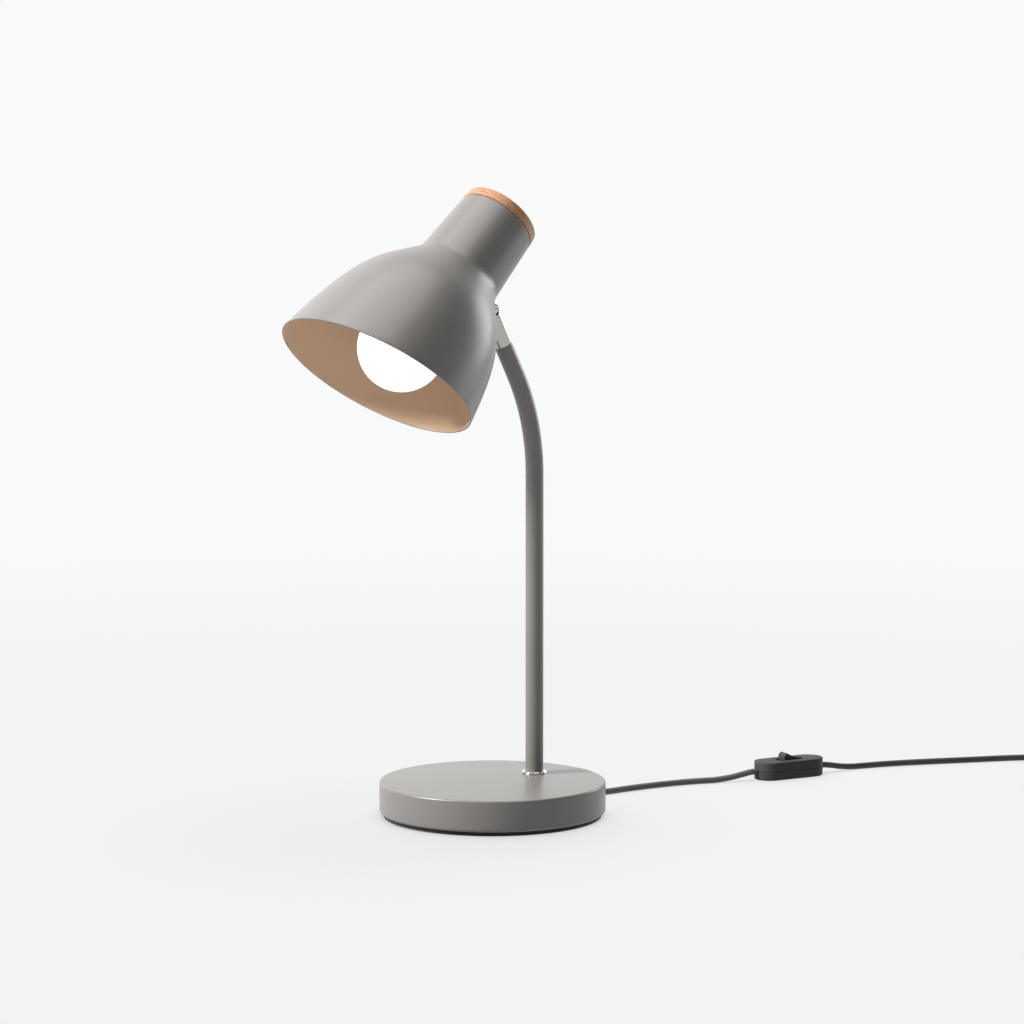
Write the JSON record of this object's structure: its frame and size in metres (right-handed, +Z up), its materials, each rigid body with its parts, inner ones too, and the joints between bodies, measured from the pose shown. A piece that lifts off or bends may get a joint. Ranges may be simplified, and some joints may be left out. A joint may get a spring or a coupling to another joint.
{
  "type": "desk lamp",
  "caption": "Desk lamp with a round weighted base, a bent tube arm, a tilting bell-shaped metal shade with a wooden cap, a bulb, and a mains lead with an in-line rocker switch and a plug.",
  "frame": {"origin": "centre of the round base's underside, on the surface that the lamp stands on", "axes": "+Z up along the pole; the shade reaches out towards -Y; the lead leaves the base towards +Y; +X is the tilt axis, to the right of someone facing along +Y"},
  "size_m": [0.2851, 0.6266, 0.4158],
  "materials": {
    "shade_and_base_paint": "warm grey satin powder coat",
    "foot_rubber": "matt black foot pad",
    "cast_weight": "rough cast",
    "chrome_trim": "polished",
    "nickel_hinge": "satin nickel plate",
    "zinc_steel": "zinc plated",
    "brass_contacts": "plain",
    "plug_pins": "nickel plated",
    "friction_fibre": "vulcanised fibre",
    "cap_wood": "clear matt lacquer",
    "holder_black": "moulded",
    "switch_black": "moulded satin",
    "white_plastic": "moulded",
    "opal_globe": "opal, lit from inside",
    "lead_grey": "soft grey sheath",
    "lead_black": "soft black sheath",
    "plug_black": "moulded on plug",
    "tie_strap": "soft strap"
  },
  "bodies": {
    "base": {"foot_pad": "foot_rubber", "base_weight": "cast_weight", "base_cover": "shade_and_base_paint", "pole_collar": "chrome_trim", "cord_gland": "lead_grey", "stem_tube": "zinc_steel", "stem_washer": "zinc_steel", "stem_lock_washer": "zinc_steel", "stem_nut": "zinc_steel", "arm_tube": "shade_and_base_paint", "arm_lead": "lead_grey", "ferrule_sleeve": "nickel_hinge", "arm_knuckle": "nickel_hinge", "pivot_bolt": "zinc_steel", "pivot_washer_right": "zinc_steel", "friction_washer_right": "friction_fibre", "pivot_washer_left": "zinc_steel", "friction_washer_left": "friction_fibre", "pivot_nut": "zinc_steel", "switch_tray": "switch_black", "switch_cover": "switch_black", "rocker_axle": "zinc_steel", "switch_contact_in": "brass_contacts", "switch_contact_out": "brass_contacts", "switch_screw_in": "zinc_steel", "switch_screw_out": "zinc_steel", "cord_grey": "lead_grey", "cord_black": "lead_black", "cord_coil": "lead_black", "cord_tie": "tie_strap", "cord_tail": "lead_black", "plug_body": "plug_black", "plug_pin_left": "plug_pins", "plug_pin_right": "plug_pins"},
    "shade": {"shade_shell": "shade_and_base_paint", "shade_lug": "zinc_steel", "lug_rivet_lower": "zinc_steel", "lug_rivet_upper": "zinc_steel", "wood_cap": "cap_wood", "cap_screw_left": "zinc_steel", "cap_screw_right": "zinc_steel", "holder_nipple": "zinc_steel", "nipple_nut_upper": "zinc_steel", "nipple_washer": "zinc_steel", "nipple_nut_lower": "zinc_steel", "holder_dome": "holder_black", "holder_skirt": "holder_black", "holder_insert": "white_plastic", "holder_thread": "brass_contacts", "holder_contact": "brass_contacts", "shade_lead": "lead_grey"},
    "bulb": {"bulb_globe": "opal_globe", "bulb_led_board": "white_plastic", "bulb_collar": "white_plastic", "bulb_screw_cap": "nickel_hinge", "bulb_insulator": "holder_black", "bulb_contact": "brass_contacts"},
    "rocker": {"switch_rocker": "switch_black"}
  },
  "joints": [
    {"name": "shade_tilt", "type": "hinge", "parent": "base", "child": "shade", "pos_m": [0, -0.00348, 0.33607], "axis": [1, 0, 0], "range_deg": [-60, 40]},
    {"name": "bulb_turn", "type": "hinge", "parent": "shade", "child": "bulb", "pos_m": [0, -0.07962, 0.31498], "axis": [0, -0.7302, -0.6833], "range_deg": [0, 900]},
    {"name": "rocker_press", "type": "hinge", "parent": "base", "child": "rocker", "pos_m": [0.0389, 0.2465, 0.009], "axis": [0.9703, -0.2419, 0], "range_deg": [0, 36]}
  ]
}
